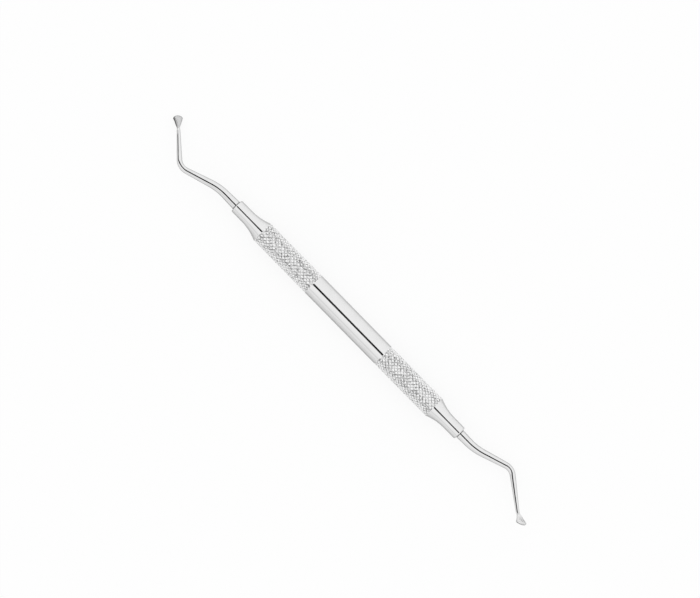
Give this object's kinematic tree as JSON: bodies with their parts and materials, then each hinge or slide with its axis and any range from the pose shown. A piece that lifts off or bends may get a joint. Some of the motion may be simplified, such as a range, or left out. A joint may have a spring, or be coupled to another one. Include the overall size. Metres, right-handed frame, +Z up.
{
  "type": "bone curette",
  "caption": "Double-ended bone curette: knurled steel handle with a bent, tapered shank and a small spoon at each end.",
  "frame": {"origin": "middle of the instrument's outline seen from above, on the surface that it lies on", "axes": "+X along the handle towards the right working end, +Z up from the surface, +Y across the handle in the surface"},
  "size_m": [0.1758, 0.0154, 0.0079],
  "materials": {
    "turned_steel": "satin turned and knurled stainless steel",
    "polished_steel": "polished stainless steel with fine grinding marks"
  },
  "bodies": {
    "root": {"handle": "turned_steel", "left_working_end": "polished_steel", "right_working_end": "polished_steel"}
  },
  "joints": []
}
